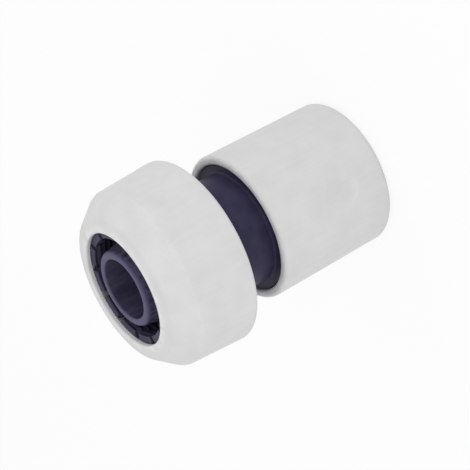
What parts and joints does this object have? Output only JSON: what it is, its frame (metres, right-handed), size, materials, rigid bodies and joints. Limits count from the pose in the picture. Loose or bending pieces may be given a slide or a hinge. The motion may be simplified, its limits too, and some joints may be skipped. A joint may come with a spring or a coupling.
{
  "type": "hose barb fitting",
  "caption": "Push-fit garden hose connector with a barbed hose tail, clamping nut and collet, smooth neck and a sprung release sleeve over a claw socket.",
  "frame": {"origin": "centre of the socket's end face, which the fitting stands on", "axes": "+Z along the axis of the waterway, from the socket towards the hose tail"},
  "size_m": [0.0432, 0.0432, 0.0619],
  "materials": {
    "pale_plastic": "satin",
    "blue_plastic": "satin",
    "claw_plastic": "satin",
    "spring_steel": "drawn"
  },
  "bodies": {
    "fitting_body": {"socket_core": "blue_plastic", "tail_body": "blue_plastic", "return_spring": "spring_steel"},
    "collet": {"clamp_collet": "blue_plastic"},
    "nut": {"clamp_nut": "pale_plastic"},
    "sleeve": {"release_sleeve": "pale_plastic"},
    "claw_1": {"locking_claw_1": "claw_plastic"},
    "claw_2": {"locking_claw_2": "claw_plastic"},
    "claw_3": {"locking_claw_3": "claw_plastic"},
    "claw_4": {"locking_claw_4": "claw_plastic"}
  },
  "joints": [
    {"name": "collet_slide", "type": "slide", "parent": "fitting_body", "child": "collet", "axis": [0, 0, 1], "range_m": [0, 0.00675]},
    {"name": "nut_turn", "type": "hinge", "parent": "collet", "child": "nut", "pos_m": [0, 0, 0.05], "axis": [0, 0, 1], "range_deg": [0, 810]},
    {"name": "sleeve_slide", "type": "slide", "parent": "fitting_body", "child": "sleeve", "axis": [0, 0, 1], "range_m": [0, 0.0045], "stiffness_N_per_m": 1200, "springref_m": -0.006, "deforming": ["return_spring"]},
    {"name": "claw_slide_1", "type": "slide", "parent": "fitting_body", "child": "claw_1", "axis": [1, 0, 0], "range_m": [0, 0.0013]},
    {"name": "claw_slide_2", "type": "slide", "parent": "fitting_body", "child": "claw_2", "axis": [0, 1, 0], "range_m": [0, 0.0013]},
    {"name": "claw_slide_3", "type": "slide", "parent": "fitting_body", "child": "claw_3", "axis": [-1, 0, 0], "range_m": [0, 0.0013]},
    {"name": "claw_slide_4", "type": "slide", "parent": "fitting_body", "child": "claw_4", "axis": [0, -1, 0], "range_m": [0, 0.0013]}
  ],
  "couplings": [
    {"joint": "nut_turn", "follows": "collet_slide", "rad_per_m": 2094.4},
    {"joint": "claw_slide_1", "follows": "sleeve_slide", "ratio": 0.2888},
    {"joint": "claw_slide_2", "follows": "sleeve_slide", "ratio": 0.2888},
    {"joint": "claw_slide_3", "follows": "sleeve_slide", "ratio": 0.2888},
    {"joint": "claw_slide_4", "follows": "sleeve_slide", "ratio": 0.2888}
  ]
}
